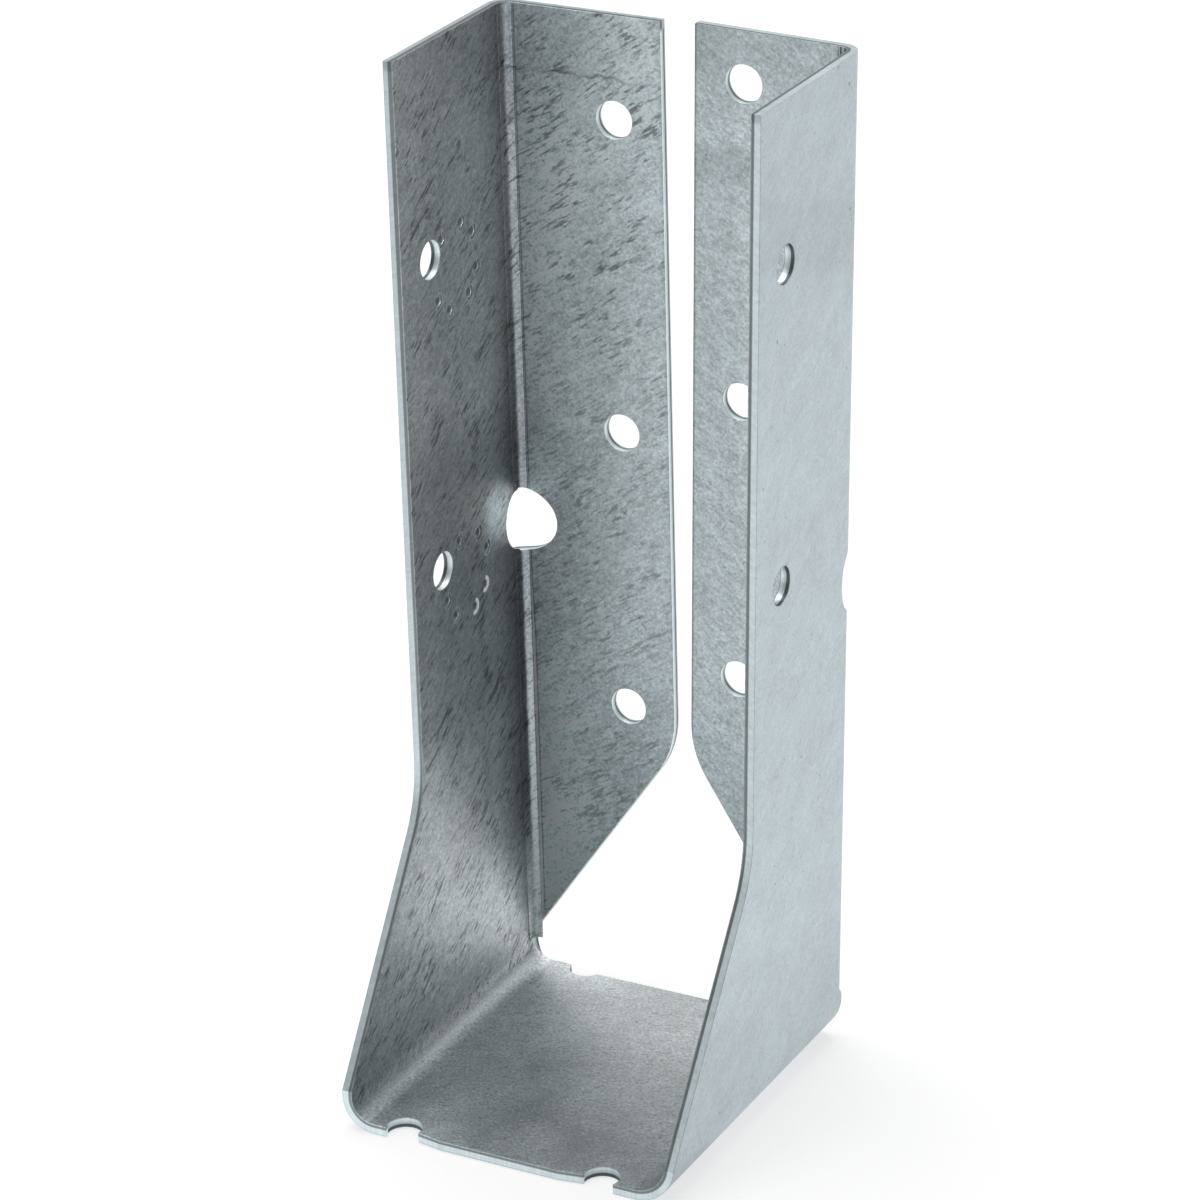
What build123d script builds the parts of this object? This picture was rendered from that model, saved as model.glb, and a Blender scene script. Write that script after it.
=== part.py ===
"""Joist hanger with concealed header flanges, folded from one blank of galvanised steel sheet.

Millimetres. The origin is the middle of the seat's underside. X runs across the joist, the joist
comes in from -Y, and both flanges lie against the header at half the seat's depth in +Y. Each side
is drawn once in a frame of its own: x from the plate's outer face inward, y from the header, z up.
"""
from build123d import *
from math import asin, atan2, cos, hypot, radians, sin
import os

# Blank and overall sizes
sheet = 1.2
inside_width = 39.7
height = 120.65
seat_depth = 44.45
side_depth = 25.4

# Bends, by inside radius, and the right side's small outward lean
header_bend_radius = 1.26
left_seat_radius = 2.7
right_seat_radius = 3.9
left_lean = 0.0
right_lean = 1.4

# Header flanges, measured from the side plate's inner face
left_flange_width = 19.6
right_flange_width = 18.6
flange_knee_height = 32.6
flange_knee_fillet = 12.0

# Relief between each flange and the seat
relief_radius = 3.6
relief_height = 3.5
relief_land = 0.1
seat_clearance = 0.1
ear_height = 7.0
ear_fillet = 2.0

# Sloping front edge of each side plate
side_knee_height = 33.1
side_heel_height = 4.7
side_knee_fillet = 14.0

# Nail holes: the left rows start this far below the top edge, the right rows higher by the stagger
nail_hole_diameter = 4.5
nail_pitch = 37.2
bottom_nail_pitch = 34.3
left_flange_nail_drop = 12.05
left_side_nail_drop = 24.45
nail_stagger = 6.05
left_flange_nail_inset = 13.7
right_flange_nail_inset = 12.65
side_nail_depth = 19.1

# Hole across each header bend, by how far it reaches from the inner corner along the two faces
bend_hole_tall = 7.9
bend_hole_tall_on_side = 7.5
left_bend_hole_on_flange = 4.95
left_bend_hole_on_side = 3.15
right_bend_hole_on_flange = 5.95
right_bend_hole_on_side = 2.15
bend_hole_height = 58.6

# Half-round pilot notches in the seat's edges, the sheared edge between the back pair, and the
# taper at both ends of the front edge
notch_radius = 2.1
notch_pitch = 25.2
notch_offset = 0.95
front_notch_shift = -1.05
back_notch_shift = -0.05
front_taper_run = 3.0
front_taper_set = 0.5

# Rings of small pressed pits in the left plate's inner face, one beside each nail hole
pit_ring_radius = 4.9
pit_ring_back = 5.3
pit_ring_drop = 2.5
pit_pairs = 4
pit_pair_angle = 36.5
pit_ring_turns = (35.0, 18.0)
pit_mouth_radius = 0.55
pit_floor_radius = 0.35
pit_depth = 0.45

header_outer_radius = header_bend_radius + sheet
seat_back = sheet + seat_clearance
overshoot = 5.0


def pit_centres(ring_y, ring_z, first_angle):
    """The pits of one ring, in pairs a quarter turn apart."""
    centres = []
    for pair in range(pit_pairs):
        for place in (0.0, pit_pair_angle):
            angle = radians(first_angle + place + 360.0 / pit_pairs * pair)
            centres.append((ring_y + pit_ring_radius * cos(angle), ring_z + pit_ring_radius * sin(angle)))
    return centres


def folded_side(flange_width, flange_nail_inset, nail_raise, bend_hole, seat_radius, lean, ring_turns):
    """One side plate with its header flange and its half of the seat bends."""
    bend_outer = seat_radius + sheet
    bend_axis = Axis((bend_outer, 0, bend_outer), (0, -1, 0))
    flange_end = sheet + flange_width
    relief_x = sheet + relief_land + relief_radius

    # The flange's lower edge runs tangent from the relief up to the knee
    run = flange_end - relief_x
    rise = flange_knee_height - relief_height
    slope = atan2(rise, run) - asin(relief_radius / hypot(run, rise))
    tangent_point = (relief_x - relief_radius * sin(slope), relief_height + relief_radius * cos(slope))

    flange_nails = [height - left_flange_nail_drop + nail_raise]
    flange_nails.append(flange_nails[0] - nail_pitch)
    flange_nails.append(flange_nails[1] - bottom_nail_pitch)
    side_nails = [height - left_side_nail_drop + nail_raise]
    side_nails.append(side_nails[0] - nail_pitch)

    with BuildPart() as side:
        # Plate, header bend and flange as one folded section
        with BuildSketch(Plane.XY.offset(bend_outer)):
            with BuildLine():
                Polyline(
                    (0, -seat_depth),
                    (0, 0),
                    (flange_end, 0),
                    (flange_end, -sheet),
                    (sheet, -sheet),
                    (sheet, -seat_depth),
                    close=True,
                )
            folded = make_face()
            fillet(folded.vertices().sort_by_distance((0, 0))[0], header_outer_radius)
            fillet(folded.vertices().sort_by_distance((sheet, -sheet))[0], header_bend_radius)
        extrude(amount=height - bend_outer)

        # The header bend's section carried round the seat bend
        with BuildSketch(Plane.XY.offset(bend_outer)):
            with BuildLine():
                Line((0, -header_outer_radius), (sheet, -header_outer_radius))
                RadiusArc(
                    (sheet, -header_outer_radius),
                    (header_outer_radius, -sheet),
                    header_bend_radius,
                )
                Line((header_outer_radius, -sheet), (header_outer_radius, 0))
                RadiusArc(
                    (header_outer_radius, 0),
                    (0, -header_outer_radius),
                    -header_outer_radius,
                )
            make_face()
        revolve(axis=bend_axis, revolution_arc=90.0 - lean)

        # Opening below the flange, with the relief at its lower corner
        with BuildSketch(Plane.XZ.offset(-overshoot)):
            with BuildLine():
                Polyline(
                    tangent_point,
                    (flange_end, flange_knee_height),
                    (flange_end, flange_knee_height + flange_knee_fillet),
                    (flange_end + overshoot, flange_knee_height + flange_knee_fillet),
                    (flange_end + overshoot, -overshoot),
                    (relief_x, -overshoot),
                    (relief_x, relief_height),
                    close=True,
                )
            opening = make_face()
            knee = opening.vertices().sort_by_distance((flange_end, flange_knee_height))[0]
            fillet(knee, flange_knee_fillet)
            with Locations((relief_x, relief_height)):
                Circle(relief_radius)
        extrude(amount=overshoot + header_outer_radius, mode=Mode.SUBTRACT)

        # Seat bend below the plate, and the plate's square ear behind the header bend's foot
        with BuildSketch(Plane.XY.offset(bend_outer)):
            with Locations((0, -seat_depth)):
                Rectangle(sheet, seat_depth - seat_back, align=(Align.MIN, Align.MIN))
        revolve(axis=bend_axis, revolution_arc=90.0 - lean)
        with BuildSketch(Plane.YZ):
            with Locations((-seat_back, bend_outer)):
                ear = Rectangle(
                    ear_fillet + header_outer_radius,
                    ear_height - bend_outer,
                    align=(Align.MAX, Align.MIN),
                )
            corner = ear.vertices().sort_by_distance((-seat_back, ear_height))[0]
            fillet(corner, min(ear_fillet, 0.95 * (ear_height - bend_outer)))
        extrude(amount=sheet)

        # Sloping front edge
        with BuildSketch(Plane.YZ.offset(-overshoot)):
            with BuildLine():
                Polyline(
                    (-seat_depth, side_heel_height),
                    (-side_depth, side_knee_height),
                    (-side_depth, height + overshoot),
                    (-seat_depth - overshoot, height + overshoot),
                    (-seat_depth - overshoot, side_heel_height),
                    close=True,
                )
            front = make_face()
            knee = front.vertices().sort_by_distance((-side_depth, side_knee_height))[0]
            fillet(knee, side_knee_fillet)
        extrude(amount=overshoot + header_outer_radius, mode=Mode.SUBTRACT)

        # Pits narrow a little from the inner face down
        for nail_height, turn in zip(side_nails, ring_turns):
            for y, z in pit_centres(pit_ring_back - side_nail_depth, nail_height - pit_ring_drop, turn):
                with Locations(Plane(origin=(sheet, y, z), z_dir=(1, 0, 0))):
                    Cone(
                        pit_floor_radius,
                        pit_mouth_radius,
                        pit_depth,
                        align=(Align.CENTER, Align.CENTER, Align.MAX),
                        mode=Mode.SUBTRACT,
                    )

        # Nail holes, square to each face
        with BuildSketch(Plane.YZ.offset(-overshoot)):
            with Locations(*[(-side_nail_depth, nail_height) for nail_height in side_nails]):
                Circle(nail_hole_diameter / 2)
        extrude(amount=2 * overshoot, mode=Mode.SUBTRACT)
        with BuildSketch(Plane.XZ.offset(-overshoot)):
            with Locations(*[(sheet + flange_nail_inset, nail_height) for nail_height in flange_nails]):
                Circle(nail_hole_diameter / 2)
        extrude(amount=2 * overshoot, mode=Mode.SUBTRACT)

        # Hole across the header bend, square to the plate and then to the flange
        hole_on_flange, hole_on_side = bend_hole
        half_way = sheet + header_bend_radius / 2
        with BuildSketch(Plane.YZ.offset(-overshoot)):
            with Locations((-sheet, bend_hole_height)):
                Ellipse(hole_on_side, bend_hole_tall_on_side / 2)
        extrude(amount=overshoot + half_way, mode=Mode.SUBTRACT)
        with BuildSketch(Plane.XZ.offset(-overshoot)):
            with Locations((sheet, bend_hole_height)):
                Ellipse(hole_on_flange, bend_hole_tall / 2)
        extrude(amount=overshoot + half_way, mode=Mode.SUBTRACT)

    return side.part.rotate(Axis((bend_outer, 0, bend_outer), (0, 1, 0)), -lean)


half_width = inside_width / 2 + sheet
header_y = seat_depth / 2
left_bend_outer = left_seat_radius + sheet
right_bend_outer = right_seat_radius + sheet

left_side = folded_side(
    left_flange_width,
    left_flange_nail_inset,
    0.0,
    (left_bend_hole_on_flange, left_bend_hole_on_side),
    left_seat_radius,
    left_lean,
    pit_ring_turns,
)
right_side = folded_side(
    right_flange_width,
    right_flange_nail_inset,
    nail_stagger,
    (right_bend_hole_on_flange, right_bend_hole_on_side),
    right_seat_radius,
    right_lean,
    (),
)
right_side = right_side.mirror(Plane.YZ)

with BuildPart() as hanger:
    # Flat of the seat between its two bends
    with BuildSketch(Plane.XY):
        with Locations((left_bend_outer - half_width, -seat_depth / 2)):
            Rectangle(
                2 * half_width - left_bend_outer - right_bend_outer,
                seat_depth - seat_back,
                align=(Align.MIN, Align.MIN),
            )
    extrude(amount=sheet)
    with Locations((-half_width, header_y, 0)):
        add(left_side)
    with Locations((half_width, header_y, 0)):
        add(right_side)

    # Pilot notches in both edges, and the sheared back edge between its pair
    with BuildSketch(Plane.XY.offset(-overshoot)):
        with Locations((front_notch_shift, notch_offset - seat_depth / 2)):
            with GridLocations(notch_pitch, 1, 2, 1):
                Circle(notch_radius)
        with Locations((back_notch_shift, header_y - seat_back)):
            with GridLocations(notch_pitch, 1, 2, 1):
                Circle(notch_radius)
            Rectangle(notch_pitch, 2 * notch_offset)

        # The front edge falls back a little towards both notches
        for hand in (-1, 1):
            notch_x = front_notch_shift + hand * notch_pitch / 2
            edge_end = notch_x - hand * notch_radius
            Polygon(
                (notch_x, -seat_depth / 2),
                (edge_end - hand * front_taper_run, -seat_depth / 2),
                (edge_end, front_taper_set - seat_depth / 2),
                (notch_x, front_taper_set - seat_depth / 2),
                align=None,
            )
    extrude(amount=overshoot + 2 * sheet, mode=Mode.SUBTRACT)

hanger.part.label = "hanger"
os.makedirs("parts", exist_ok=True)
export_step(hanger.part, "parts/hanger.step")
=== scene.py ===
"""Looks of the joist hanger: one folded piece of galvanised sheet on a pale studio floor."""
import math

import bmesh
import bpy
from mathutils import Matrix, Vector


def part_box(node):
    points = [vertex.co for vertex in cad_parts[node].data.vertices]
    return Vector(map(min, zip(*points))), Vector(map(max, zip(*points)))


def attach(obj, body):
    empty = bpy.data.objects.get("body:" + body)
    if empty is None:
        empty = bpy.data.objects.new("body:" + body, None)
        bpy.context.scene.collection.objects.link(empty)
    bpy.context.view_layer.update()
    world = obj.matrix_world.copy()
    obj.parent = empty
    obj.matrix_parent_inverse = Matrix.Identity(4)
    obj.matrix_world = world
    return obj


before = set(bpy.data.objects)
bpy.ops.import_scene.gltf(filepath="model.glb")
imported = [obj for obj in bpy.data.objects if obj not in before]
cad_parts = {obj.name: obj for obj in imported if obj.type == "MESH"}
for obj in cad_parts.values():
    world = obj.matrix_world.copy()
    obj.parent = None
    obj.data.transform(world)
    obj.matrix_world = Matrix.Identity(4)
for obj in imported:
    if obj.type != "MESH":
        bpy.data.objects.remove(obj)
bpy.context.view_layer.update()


# Camera, at the photograph's viewing angle
view_azimuth = math.radians(28.401)
view_elevation = math.radians(24.023)
view_roll = math.radians(-1.567)
view_distance = 0.53389
view_target = Vector((0.0, 0.002225, 0.06))
view_lens = 144.658
view_shift_across = 0.000551
view_shift_above = -0.000509

back = Vector(
    (
        math.sin(view_azimuth) * math.cos(view_elevation),
        -math.cos(view_azimuth) * math.cos(view_elevation),
        math.sin(view_elevation),
    )
)
level = Vector((math.cos(view_azimuth), math.sin(view_azimuth), 0.0))
upright = back.cross(level)
across = math.cos(view_roll) * level + math.sin(view_roll) * upright
above = math.cos(view_roll) * upright - math.sin(view_roll) * level
camera_shift = across * view_shift_across + above * view_shift_above
camera_place = view_target + back * view_distance + camera_shift

camera_data = bpy.data.cameras.new("camera")
camera_data.lens = view_lens
camera_data.sensor_width = 36.0
camera_data.clip_start = 0.01
camera_data.clip_end = 50.0
camera = bpy.data.objects.new("camera", camera_data)
bpy.context.scene.collection.objects.link(camera)
camera_turn = Matrix((across, above, back)).transposed().to_4x4()
camera.matrix_world = Matrix.Translation(camera_place) @ camera_turn
bpy.context.scene.camera = camera
bpy.context.scene.view_settings.view_transform = "Standard"


# Sizes of the folded sheet in millimetres
low_corner, high_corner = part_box("hanger")
sheet = 1.2
top_height = 120.65
plate_face = 19.85
header_back = 1000.0 * high_corner[1]
flange_face = header_back - sheet
right_flange_width = 18.6
header_bend_radius = 1.26
left_seat_radius = 2.7
right_seat_radius = 3.9
right_lean = math.radians(1.4)

# Front edge of the side plates
seat_front = 1000.0 * low_corner[1]
plate_front = header_back - 25.4
side_knee_height = 33.1
side_heel_height = 4.7
front_slope = (plate_front - seat_front) / (side_knee_height - side_heel_height)

# Nail holes of the left plate and the ring of pits beside each
nail_y = header_back - 19.1
nail_heights = (top_height - 24.45, top_height - 61.65)
pit_ring_y = nail_y + 5.3
pit_ring_drop = 2.5
pit_ring_radius = 4.9
pit_ring_turns = (35.0, 18.0)
pit_pairs = 4
pit_pair_angle = 36.5

# Hole across each header bend
bend_hole_height = 58.6
bend_hole_tall_on_flange = 7.9
bend_hole_tall_on_side = 7.5

# Colours of the zinc by area
upper_plate_zinc = (0.585, 0.600, 0.600, 1.0)
lower_plate_zinc = (0.490, 0.528, 0.540, 1.0)
outer_zinc = (0.540, 0.612, 0.645, 1.0)
flange_zinc = (0.566, 0.640, 0.669, 1.0)
seat_zinc = (0.545, 0.582, 0.590, 1.0)
# colour of the painted highlight beside the hole across the left bend
painted_highlight_zinc = (0.555, 0.630, 0.655, 1.0)
sheared_zinc = (0.86, 0.98, 1.02)
# white of the painted glints beside the pits
painted_glint_white = (1.0, 1.0, 1.0, 1.0)

# Way that the far wall of a pit and the zinc pushed up beside it face
pit_wall_facing = (0.59, -0.50, 0.63, 1.0)
raised_facing = (0.37, -0.355, 0.858, 1.0)


# Helpers for node trees
class Field:
    """A number that varies over a surface, with arithmetic that adds nodes."""

    def __init__(self, tree, socket):
        self.tree = tree
        self.socket = socket

    def __add__(self, other):
        return self.tree.math("ADD", self, other)

    def __sub__(self, other):
        return self.tree.math("SUBTRACT", self, other)

    def __rsub__(self, other):
        return self.tree.math("SUBTRACT", other, self)

    def __mul__(self, other):
        return self.tree.math("MULTIPLY", self, other)

    def __abs__(self):
        return self.tree.math("ABSOLUTE", self)

    __radd__ = __add__
    __rmul__ = __mul__

    def at_least(self, other):
        return self.tree.math("MAXIMUM", self, other)

    def at_most(self, other):
        return self.tree.math("MINIMUM", self, other)

    def sign(self):
        return self.tree.math("SIGN", self)

    def span(self, low, high, to_low=0.0, to_high=1.0):
        """Runs smoothly from to_low at low to to_high at high."""
        node = self.tree.add("ShaderNodeMapRange", interpolation_type="SMOOTHSTEP")
        self.tree.put(self, node.inputs["Value"])
        backward = low > high
        node.inputs["From Min"].default_value = high if backward else low
        node.inputs["From Max"].default_value = low if backward else high
        node.inputs["To Min"].default_value = to_high if backward else to_low
        node.inputs["To Max"].default_value = to_low if backward else to_high
        return Field(self.tree, node.outputs["Result"])

    def window(self, starts, full_from, full_to, ends):
        """Is 1 between the two middle values and fades to 0 at the outer two."""
        return self.span(starts, full_from) * self.span(ends, full_to)


class Tree:
    """A node tree with short calls for the nodes used here."""

    def __init__(self, owner):
        owner.use_nodes = True
        self.nodes = owner.node_tree.nodes
        self.links = owner.node_tree.links
        self.nodes.clear()

    def add(self, kind, **settings):
        node = self.nodes.new(kind)
        for name, value in settings.items():
            setattr(node, name, value)
        return node

    def put(self, value, socket):
        if isinstance(value, Field):
            self.links.new(value.socket, socket)
        elif isinstance(value, bpy.types.NodeSocket):
            self.links.new(value, socket)
        else:
            socket.default_value = value

    def math(self, operation, first, second=0.0):
        node = self.add("ShaderNodeMath", operation=operation)
        self.put(first, node.inputs[0])
        self.put(second, node.inputs[1])
        return Field(self, node.outputs[0])

    def hypot(self, first, second):
        return self.math("SQRT", first * first + second * second)

    def mix(self, share, first, second):
        node = self.add("ShaderNodeMix", data_type="RGBA")
        self.put(share, node.inputs[0])
        self.put(first, node.inputs[6])
        self.put(second, node.inputs[7])
        return node.outputs[2]

    def scaled(self, vector, scale):
        node = self.add("ShaderNodeVectorMath", operation="SCALE")
        self.put(vector, node.inputs[0])
        self.put(scale, node.inputs["Scale"])
        return node.outputs[0]

    def split(self, vector):
        node = self.add("ShaderNodeSeparateXYZ")
        self.put(vector, node.inputs[0])
        return [Field(self, socket) for socket in node.outputs]

    def combine(self, x, y, z):
        node = self.add("ShaderNodeCombineXYZ")
        self.put(x, node.inputs[0])
        self.put(y, node.inputs[1])
        self.put(z, node.inputs[2])
        return node.outputs[0]

    def noise(self, vector, scale, detail=2.0, roughness=0.5):
        """Noise about zero, within half a unit each way."""
        node = self.add("ShaderNodeTexNoise")
        self.put(vector, node.inputs["Vector"])
        node.inputs["Scale"].default_value = scale
        node.inputs["Detail"].default_value = detail
        node.inputs["Roughness"].default_value = roughness
        return Field(self, node.outputs["Fac"]) - 0.5


class SheetPlace:
    """Where on the folded sheet a point lies: millimetres, and shares from 0 to 1."""

    def __init__(self, tree):
        coordinates = tree.add("ShaderNodeTexCoord")
        self.tree = tree
        self.point = tree.scaled(coordinates.outputs["Object"], 1000.0)
        self.x, self.y, self.z = tree.split(self.point)
        self.on_left = self.x.span(1.0, -1.0)
        self.on_right = 1.0 - self.on_left

        # Depth below the inner faces of plate, flange and seat, and round the bends between them
        lean_rise = (self.z - right_seat_radius - sheet).at_least(0.0)
        self.plate = abs(self.x) - plate_face - lean_rise * math.tan(right_lean) * self.on_right
        self.flange = self.y - flange_face
        self.seat = sheet - self.z
        seat_radius = self.on_right * (right_seat_radius - left_seat_radius) + left_seat_radius
        round_header = tree.hypot(
            (self.plate + header_bend_radius).at_least(0.0),
            (self.flange + header_bend_radius).at_least(0.0),
        )
        round_seat = tree.hypot(
            (self.plate + seat_radius).at_least(0.0),
            (self.seat + seat_radius).at_least(0.0),
        )
        self.depth = (round_header - header_bend_radius).at_least(round_seat - seat_radius)
        self.inward = 0.0 - self.plate

        self.cut = self.depth.window(0.06, 0.10, 1.12, 1.16)
        self.inside = self.depth.span(0.7, 0.5)
        self.on_seat = (self.seat - self.plate).span(-1.0, 1.0)
        self.on_sides = 1.0 - self.on_seat
        self.on_flange = (self.flange - self.plate).span(-0.6, 0.6) * self.on_sides
        self.on_plate = self.on_sides * (1.0 - self.on_flange)

    def patch(self, centre, reach):
        """A soft spot that is 1 in the middle and 0 past its reach along each axis."""
        place = (self.x, self.y, self.z)
        offsets = [(part - middle) * (1.0 / size) for part, middle, size in zip(place, centre, reach)]
        across_two = self.tree.hypot(offsets[0], offsets[1])
        return self.tree.hypot(across_two, offsets[2]).span(1.0, 0.35)


class Grain:
    """Noise of the zinc: even, and drawn out along the rolling direction."""

    def __init__(self, tree, at):
        # The rolling direction slants up along the unfolded sheet, and across the seat
        along = at.y - abs(at.x)
        slant = math.radians(34.0)
        run = along * math.cos(slant) + at.z * math.sin(slant)
        rise = at.z * math.cos(slant) - along * math.sin(slant)
        seat_turn = math.radians(28.0)
        seat_run = at.x * math.cos(seat_turn) + at.y * math.sin(seat_turn)
        seat_rise = at.y * math.cos(seat_turn) - at.x * math.sin(seat_turn)
        side_layer = at.x.sign() * 9.0
        seat_layer = 30.0
        rolled = tree.mix(
            at.on_seat,
            tree.combine(run * 0.22, rise, side_layer),
            tree.combine(seat_run * 0.4, seat_rise, seat_layer),
        )
        brushed = tree.mix(
            at.on_seat,
            tree.combine(run * 0.45, rise, side_layer),
            tree.combine(seat_run, seat_rise, seat_layer),
        )

        self.speckle = tree.noise(at.point, 3.4, 2.0, 0.6)
        self.fibres = tree.noise(brushed, 2.4, 3.0, 0.65)
        self.mottle = tree.noise(brushed, 0.6, 2.0, 0.5)
        self.ragged = tree.noise(brushed, 0.9, 2.0, 0.6)
        self.clouds = tree.noise(at.point, 0.11, 3.0, 0.55)
        self.patches = tree.noise(at.point, 0.22, 2.0, 0.5)
        self.wave = tree.noise(at.point, 0.33, 2.0, 0.6) * 3.0
        self.specks = tree.noise(at.point, 1.4, 2.0, 0.5).span(0.19, 0.28)
        self.long_streaks = tree.noise(rolled, 1.5, 2.0, 0.6).span(0.07, 0.19)
        short_streaks = tree.noise(rolled, 2.3, 2.0, 0.6).span(0.05, 0.18)
        clusters = self.patches.span(-0.14, 0.08)
        self.streaks = short_streaks.at_least(self.long_streaks) * clusters


def rolled_tone(at, grain):
    """Brightness of the bare sheet: mottled, with specks and streaks that the outside lacks."""
    contrast = at.inside * 0.6 + 0.4
    texture = grain.fibres * 0.9 + grain.speckle * 1.1 + grain.mottle * 0.35
    tone = texture * contrast + grain.clouds * 0.35 + grain.patches * 0.12 + 1.0
    streaked = at.on_sides * at.on_left * 0.37 + 0.22
    streaked = streaked * (1.0 - at.on_flange * at.z.span(96.0, 74.0, 0.0, 0.30))
    streaked = streaked * (1.0 - at.on_flange * at.on_right * 0.5)
    marks = (grain.specks * 0.42).at_least(grain.streaks * streaked * at.inside)
    return tone * (1.0 - marks)


def header_bend_tone(at, grain, painted_highlight):
    """Tone round each header bend: the strip on the bend darkened a little, a painted reflection that
    carries it onto the flange, painted shade in the crease at the flange, dirt and painted corner shade
    on the plate, and the painted highlight beside the bend hole.
    """
    by_flange = at.flange.span(-0.7, -0.5) * at.inside
    round_bend = at.inward + at.z.span(103.0, 112.0) * 0.20 + grain.mottle * 0.25
    drifted = at.inward - at.z.span(54.0, 42.0) * at.on_left * 0.25
    # the strip on the bend itself is darkened a little
    dimmed_bend_strip = round_bend.span(0.24, 0.44) * at.inward.span(1.36, 1.27) * at.z.span(58.0, 70.0)
    # painted reflection that carries the light strip a little onto the flange
    painted_strip_reflection = at.inward.span(1.24, 1.30) * drifted.span(1.34, 1.28)
    # painted shade in the crease at the flange
    crease_shade = drifted.window(1.27, 1.33, 1.45, 1.55) * at.z.span(6.0, 9.0)
    in_bend = round_bend.span(0.42, 0.26) * at.flange.span(-1.25, -0.95)
    # dirt and painted shade in the corner, darker towards the bend
    dirt_and_corner_shade = at.flange.span(-8.0, -0.9) * (at.z.span(92.0, 78.0) * 0.18 + 0.32)
    dirt_and_corner_shade = dirt_and_corner_shade * round_bend.span(0.46, 0.30)
    dirt_and_corner_shade = dirt_and_corner_shade.at_least(in_bend * 0.30) * at.inside * at.z.span(13.0, 21.0)
    tone = (1.0 - crease_shade * by_flange * 0.42) * (1.0 - dirt_and_corner_shade * at.on_sides)
    tone = tone * (1.0 - dimmed_bend_strip * by_flange * 0.18 + painted_strip_reflection * by_flange * 0.9)
    # painted highlight beside the hole across the left bend
    return tone * (1.0 + painted_highlight * 0.75)


def band_tone(at, grain):
    """A tide line near the top of the left side, and soft bands on the right."""
    tide = abs(at.z - 113.2 - grain.wave * 0.4 - grain.ragged * 1.6).span(0.30, 0.05)
    tide = tide * grain.patches.span(-0.15, 0.0)
    tide = tide * (1.0 - at.on_plate * 0.6) * at.x.span(-3.0, -9.0, 0.4, 1.0)
    tone = 1.0 - tide * at.on_left * at.inside * 0.5

    below_tide = (at.z - grain.wave).window(107.5, 110.0, 113.4, 114.6) * grain.long_streaks
    tone = tone * (1.0 - below_tide * at.on_left * at.on_plate * at.inside * 0.4)

    dark_band = at.z.window(102.4, 104.0, 106.4, 107.6) * 0.13
    light_band = at.z.window(107.0, 108.4, 109.2, 110.6) * 0.10
    tone = tone * (1.0 + (light_band - dark_band) * at.on_right * at.on_flange * at.inside)

    slanting = at.z + (at.y + 0.9) * 0.332
    plate_band = slanting.window(101.4, 103.8, 109.4, 111.8) * at.on_right * at.on_plate
    return tone * (1.0 - plate_band * (1.0 - at.inside) * 0.07)


def area_tint(tree, at, painted_highlight):
    """Colour of each area of the sheet."""
    plate_tint = tree.mix(at.z.span(62.0, 34.0), upper_plate_zinc, lower_plate_zinc)
    tint = tree.mix(at.inside, outer_zinc, flange_zinc)
    tint = tree.mix(at.on_plate * at.inside, tint, plate_tint)
    tint = tree.mix(at.on_seat * at.inside, tint, seat_zinc)
    # painted highlight beside the bend hole, in its own colour
    return tree.mix(painted_highlight, tint, painted_highlight_zinc)


def painted_light_and_tone_by_area(at):
    """How much lighter or darker each area is than the even zinc: painted light and shade standing in
    for the reflections in each area, partly the zinc's own tone.
    """
    x, y, z = at.x, at.y, at.z

    plate_lift = y.span(-1.0, 4.0) * z.span(14.0, 26.0) * -0.13
    plate_lift = plate_lift - z.window(34.0, 42.0, 68.0, 78.0) * 0.20
    plate_lift = plate_lift - z.span(111.0, 115.0) * 0.12
    plate_lift = plate_lift - z.span(12.0, 6.0) * 0.16
    plate_lift = plate_lift - y.span(6.0, 12.0) * z.window(17.0, 24.0, 38.0, 48.0) * 0.10

    left_lift = z.span(88.0, 110.0) * 0.14 + 0.10
    left_lift = left_lift + x.span(-8.0, -13.0) * z.window(66.0, 76.0, 100.0, 112.0) * 0.26
    left_lift = left_lift + x.span(-9.0, -16.0) * z.span(44.0, 32.0) * 0.28
    left_lift = left_lift - x.span(-10.0, -7.0) * z.span(50.0, 30.0) * 0.14
    right_lift = x.span(8.0, 9.5) * 0.08 - z.span(113.5, 116.0) * 0.14
    flange_lift = at.on_left * left_lift + at.on_right * right_lift
    flange_lift = flange_lift + z.span(60.0, 25.0) * 0.20 + 0.06

    seat_lift = x.span(2.0, -14.0) * 0.30 - x.span(0.0, 14.0) * 0.10 + 0.06
    seat_lift = seat_lift - y.span(-7.0, -14.0) * 0.10
    seat_lift = seat_lift - y.span(9.0, 14.0) * x.window(-16.0, -11.0, 2.0, 8.0) * 0.14

    outer_lift = z.span(100.0, 90.0) * 0.03 - z.span(28.0, 10.0) * 0.10 - 0.06
    outer_lift = outer_lift - z.span(16.0, 6.0) * y.span(8.0, 16.0) * 0.07

    inner_lift = at.on_plate * plate_lift + at.on_flange * flange_lift + at.on_seat * seat_lift
    return at.inside * inner_lift + (1.0 - at.inside) * outer_lift


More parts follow.
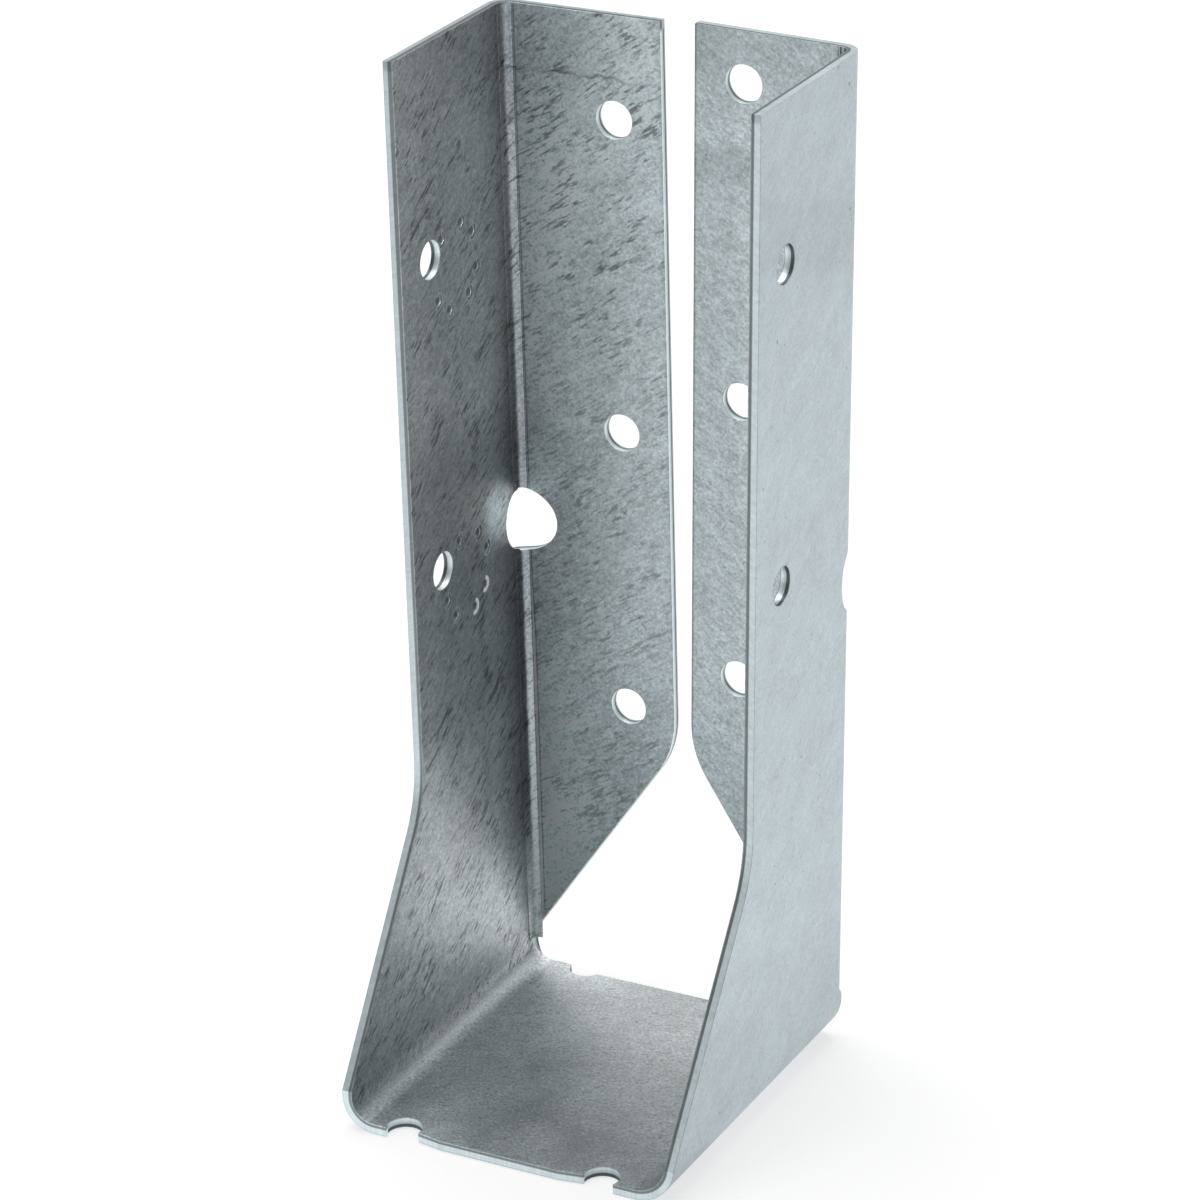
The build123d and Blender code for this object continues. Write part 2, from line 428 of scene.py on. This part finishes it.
def sheared_tone(at, grain):
    """Brightness of the cut edges: burnished band and fracture line, in reverse order on the outline."""
    front = plate_front - (side_knee_height - at.z).at_least(0.0) * front_slope
    front = (at.y - front.at_least(seat_front)).span(0.9, 0.6)
    top = at.z.span(119.3, 119.9)
    outline = front.at_least(top)
    right_side = at.on_right * at.on_sides
    upright_edge = at.z.span(30.0, 40.0)

    narrowed = at.depth - (1.0 - right_side) * at.z.span(40.0, 118.0) * 0.20
    rim = at.depth.span(0.10, 0.20, 0.36, 0.27) + narrowed.span(0.34, 0.50, 0.0, 0.45)
    # painted light: the bright band is lifted on the edges of the right side
    rim = rim + narrowed.span(0.40, 0.50) * (right_side * 0.16 + (1.0 - upright_edge) * 0.10)
    punched = at.depth.span(0.68, 0.78, 1.0, 0.20) * at.depth.span(0.15, 0.65, 1.05, 0.72)
    punched = punched * (1.0 - at.on_flange * 0.15 - at.on_seat * 0.28)
    flange_end = at.on_flange * at.z.span(120.0, 119.0) * at.depth.span(0.92, 1.02) * 0.40
    # painted shade: the relief walls and the top edges are darkened
    relief = at.z.span(13.0, 9.0) * at.y.span(17.0, 18.5)
    shade = outline * rim + (1.0 - outline) * (punched + flange_end) * (1.0 - relief * 0.5)
    return shade * (1.0 - top * 0.30) * (grain.fibres * 0.5 + 1.0)


def pressed_pits(at):
    """Where the rings of pits lie in the left plate, apart from its nail holes."""
    nail_rise = abs(at.z - nail_heights[0]).at_most(abs(at.z - nail_heights[1]))
    clear_of_nail = at.tree.hypot(at.y - nail_y, nail_rise).span(2.5, 2.7)
    around_rings = at.y.window(0.5, 1.0, 14.2, 14.8) * at.z.window(45.0, 46.0, 109.0, 110.0)
    return at.cut * around_rings * clear_of_nail * at.x.span(-15.0, -16.0)


def painted_burr_glints(at):
    """Painted glints: white crescents on the far side of each pit, where the zinc pushed up catches the
    light.
    """
    burr_glints = None
    for nail_height, ring_turn in zip(nail_heights, pit_ring_turns):
        for pair in range(pit_pairs):
            for turn_in_pair in (0.0, pit_pair_angle):
                angle = math.radians(ring_turn + turn_in_pair + 360.0 / pit_pairs * pair)
                pit_y = pit_ring_y + pit_ring_radius * math.cos(angle)
                pit_z = nail_height - pit_ring_drop + pit_ring_radius * math.sin(angle)
                beyond = at.y - pit_y
                over = at.z - pit_z
                far_side = (beyond - over * 0.4).span(-0.30, 0.10)
                burr_glint = at.tree.hypot(beyond, over).span(1.08, 0.92) * far_side
                burr_glints = burr_glint if burr_glints is None else burr_glints.at_least(burr_glint)
    return burr_glints * at.x.span(-15.0, -16.0) * at.depth.span(0.06, 0.03) * at.inside


def zinc_coating():
    """Galvanised sheet: mottled and streaked inside, paler outside, with bright sheared edges."""
    material = bpy.data.materials.new("zinc_coating")
    tree = Tree(material)
    at = SheetPlace(tree)
    grain = Grain(tree, at)

    # Painted highlight on the plate beside the hole across the left bend
    painted_highlight = at.patch((-plate_face, 16.4, 61.2), (1.2, 4.6, 5.4))
    flange_end_width = at.inward.span(right_flange_width - 0.30, right_flange_width - 0.12)
    far_end = at.on_right * at.on_flange * at.inside * flange_end_width * 0.40
    tone = rolled_tone(at, grain) * header_bend_tone(at, grain, painted_highlight) * band_tone(at, grain)
    # painted light and shade by area, partly the zinc's own tone
    tone = tone * (1.0 + painted_light_and_tone_by_area(at)) * (1.0 - far_end)
    colour = tree.scaled(area_tint(tree, at, painted_highlight), tone)

    pits = pressed_pits(at)
    burr_glints = painted_burr_glints(at)
    # painted shade: the pits take a darker tone than the other cut faces
    sheared = sheared_tone(at, grain) * (1.0 - pits) + pits * 0.55
    colour = tree.mix(at.cut, colour, tree.scaled(sheared_zinc, sheared))
    # painted glints on the burrs beside the pits
    colour = tree.mix(burr_glints, colour, painted_glint_white)
    roughness = (grain.clouds * 0.25 + grain.fibres * 0.1 + 0.45) * (1.0 - burr_glints * 0.6)

    rounded = tree.add("ShaderNodeBevel", samples=6)
    rounded.inputs["Radius"].default_value = 0.0001
    bump = tree.add("ShaderNodeBump")
    bump.inputs["Strength"].default_value = 0.2
    bump.inputs["Distance"].default_value = 0.00006
    tree.put(grain.fibres + grain.mottle, bump.inputs["Height"])
    tree.put(rounded.outputs[0], bump.inputs["Normal"])
    normal = tree.mix(pits, bump.outputs[0], pit_wall_facing)
    normal = tree.mix(burr_glints, normal, raised_facing)

    surface = tree.add("ShaderNodeBsdfPrincipled")
    surface.inputs["Metallic"].default_value = 1.0
    tree.put(colour, surface.inputs["Base Color"])
    tree.put(roughness, surface.inputs["Roughness"])
    tree.put(normal, surface.inputs["Normal"])
    output = tree.add("ShaderNodeOutputMaterial")
    tree.put(surface.outputs[0], output.inputs["Surface"])
    return material


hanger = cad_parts["hanger"]
zinc = zinc_coating()
for slot in hanger.material_slots:
    slot.material = zinc


# Inside radius of the header bends, which the solid leaves sharp above the seat bends
def half_height(reach, tall, offset):
    """Half the height of the hole across the bend, at some distance from its middle line."""
    return tall / 2 * math.sqrt(max(0.0, 1.0 - (offset / reach) ** 2))


def bend_radius_piece(name, hand, seat_radius, lean, reach_on_flange, reach_on_side):
    """Fills the inner corner of one header bend to its radius, above and below the hole across it."""
    steps = 12
    seated = 0.05
    turn_axis = seat_radius + sheet
    half_way = sheet + header_bend_radius / 2

    def placed(from_plate, from_header, height):
        """A point in metres, from places on the upright side that leans about the seat bend."""
        outward = from_plate - turn_axis
        rise = height - turn_axis
        leant_across = turn_axis + outward * math.cos(lean) - rise * math.sin(lean)
        leant_height = turn_axis + outward * math.sin(lean) + rise * math.cos(lean)
        from_middle = hand * (plate_face + sheet - leant_across)
        return Vector((from_middle, header_back + from_header, leant_height)) / 1000.0

    section = [(sheet - seated, seated - sheet)]
    for step in range(steps + 1):
        angle = math.radians(90.0 * step / steps)
        from_plate = sheet + header_bend_radius * (1.0 - math.cos(angle))
        from_header = -sheet - header_bend_radius * (1.0 - math.sin(angle))
        section.append((from_plate, from_header))

    mesh = bmesh.new()
    for below_hole in (True, False):
        low_ring = []
        high_ring = []
        for from_plate, from_header in section:
            clear = 0.0
            if from_plate < half_way:
                clear = half_height(reach_on_side, bend_hole_tall_on_side, from_header + sheet)
            if -from_header < half_way:
                on_flange = half_height(reach_on_flange, bend_hole_tall_on_flange, from_plate - sheet)
                clear = max(clear, on_flange)
            low = turn_axis if below_hole else bend_hole_height + clear
            high = bend_hole_height - clear if below_hole else top_height
            low_ring.append(mesh.verts.new(placed(from_plate, from_header, low)))
            high_ring.append(mesh.verts.new(placed(from_plate, from_header, high)))
        count = len(section)
        for step in range(count):
            after = (step + 1) % count
            mesh.faces.new((low_ring[step], low_ring[after], high_ring[after], high_ring[step]))
        for ring in (low_ring, high_ring):
            for step in range(1, count - 1):
                mesh.faces.new((ring[0], ring[step], ring[step + 1]))
    bmesh.ops.recalc_face_normals(mesh, faces=mesh.faces)

    data = bpy.data.meshes.new(name)
    mesh.to_mesh(data)
    mesh.free()
    data.polygons.foreach_set("use_smooth", [True] * len(data.polygons))
    data.set_sharp_from_angle(angle=math.radians(30.0))
    data.materials.append(zinc)
    piece = bpy.data.objects.new(name, data)
    bpy.context.scene.collection.objects.link(piece)
    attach(piece, "root")


bend_radius_piece("left_bend_radius", -1, left_seat_radius, 0.0, 4.95, 3.15)
bend_radius_piece("right_bend_radius", 1, right_seat_radius, right_lean, 5.95, 2.15)


# Floor, world and lamp
dim_azimuth = math.radians(20.0)


def toward_dim_side(tree, vector):
    """How far a direction points at the dim side of the studio, in front and a little right."""
    x, y, z = tree.split(vector)
    return x * math.sin(dim_azimuth) - y * math.cos(dim_azimuth), tree.hypot(x, y)


def studio_floor():
    """A pale floor that metal sees darker towards the dim side and lighter close to the part."""
    half = 3.0
    corners = [(-half, -half, 0), (half, -half, 0), (half, half, 0), (-half, half, 0)]
    mesh = bpy.data.meshes.new("floor")
    mesh.from_pydata(corners, [], [(0, 1, 2, 3)])
    floor = bpy.data.objects.new("floor", mesh)
    bpy.context.scene.collection.objects.link(floor)
    floor.location.z = -0.00002
    material = bpy.data.materials.new("floor")
    tree = Tree(material)
    rays = tree.add("ShaderNodeLightPath")
    matt = tree.add("ShaderNodeBsdfDiffuse")
    matt.inputs["Color"].default_value = (0.55, 0.55, 0.55, 1.0)
    coordinates = tree.add("ShaderNodeTexCoord")
    dim, distance = toward_dim_side(tree, coordinates.outputs["Object"])
    facing = tree.math("DIVIDE", dim, distance.at_least(0.01))
    reflected = facing.span(0.60, 0.985, 0.60, 0.12) + distance.span(0.10, 0.03, 0.0, 0.12)
    reflected = reflected.at_least(distance.span(0.037, 0.029, 0.0, 0.58))
    seen = Field(tree, rays.outputs["Is Camera Ray"]) * 0.6
    seen = seen.at_least(Field(tree, rays.outputs["Is Glossy Ray"]) * reflected)
    glow = tree.add("ShaderNodeEmission")
    tree.put(seen, glow.inputs["Strength"])
    both = tree.add("ShaderNodeAddShader")
    tree.put(matt.outputs[0], both.inputs[0])
    tree.put(glow.outputs[0], both.inputs[1])
    output = tree.add("ShaderNodeOutputMaterial")
    tree.put(both.outputs[0], output.inputs["Surface"])
    mesh.materials.append(material)


def studio_world():
    """White to the camera, and for reflections pale behind and dim in front."""
    world = bpy.data.worlds.new("studio")
    bpy.context.scene.world = world
    tree = Tree(world)
    rays = tree.add("ShaderNodeLightPath")
    coordinates = tree.add("ShaderNodeTexCoord")
    dim = toward_dim_side(tree, coordinates.outputs["Generated"])[0]
    reflected = dim.span(-0.1, 0.9, 0.85, 0.3)
    seen = Field(tree, rays.outputs["Is Camera Ray"])
    seen = seen.at_least(Field(tree, rays.outputs["Is Glossy Ray"]) * reflected)
    light = tree.add("ShaderNodeBackground")
    tree.put(seen.at_least(0.5), light.inputs["Strength"])
    output = tree.add("ShaderNodeOutputWorld")
    tree.put(light.outputs[0], output.inputs["Surface"])


def softbox(name, place, aim, size, power):
    """A square soft lamp that shines from a place towards an aim."""
    data = bpy.data.lights.new(name, "AREA")
    data.shape = "SQUARE"
    data.size = size
    data.energy = power
    lamp = bpy.data.objects.new(name, data)
    bpy.context.scene.collection.objects.link(lamp)
    lamp.location = place
    lamp.rotation_euler = (Vector(aim) - Vector(place)).to_track_quat("-Z", "Y").to_euler()


studio_floor()
studio_world()
softbox("key", (-0.25, 0.35, 1.4), (0.0, 0.0, 0.06), 1.2, 12.0)
